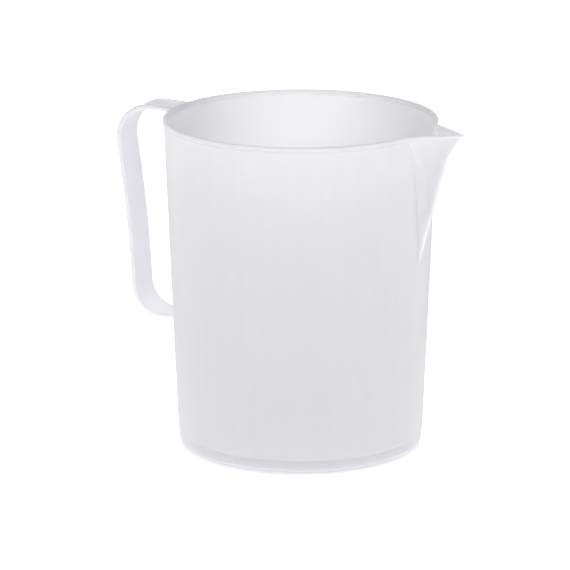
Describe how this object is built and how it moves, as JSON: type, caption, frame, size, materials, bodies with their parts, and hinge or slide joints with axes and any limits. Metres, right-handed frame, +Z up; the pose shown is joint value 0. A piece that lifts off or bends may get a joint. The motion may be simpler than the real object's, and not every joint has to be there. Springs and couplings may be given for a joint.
{
  "type": "measuring jug",
  "caption": "Tapered plastic measuring jug with a pouring beak and a strap handle opposite it, standing on a ring foot.",
  "frame": {"origin": "centre of the foot ring, on the surface the jug stands on", "axes": "+Z up; +X out through the pouring beak, with the handle on -X; +Y to the left of someone looking along +X"},
  "size_m": [0.2171, 0.157, 0.1958],
  "materials": {
    "natural_polypropylene": "satin, milky, slightly translucent"
  },
  "bodies": {
    "root": {"jug": "natural_polypropylene"}
  },
  "joints": []
}
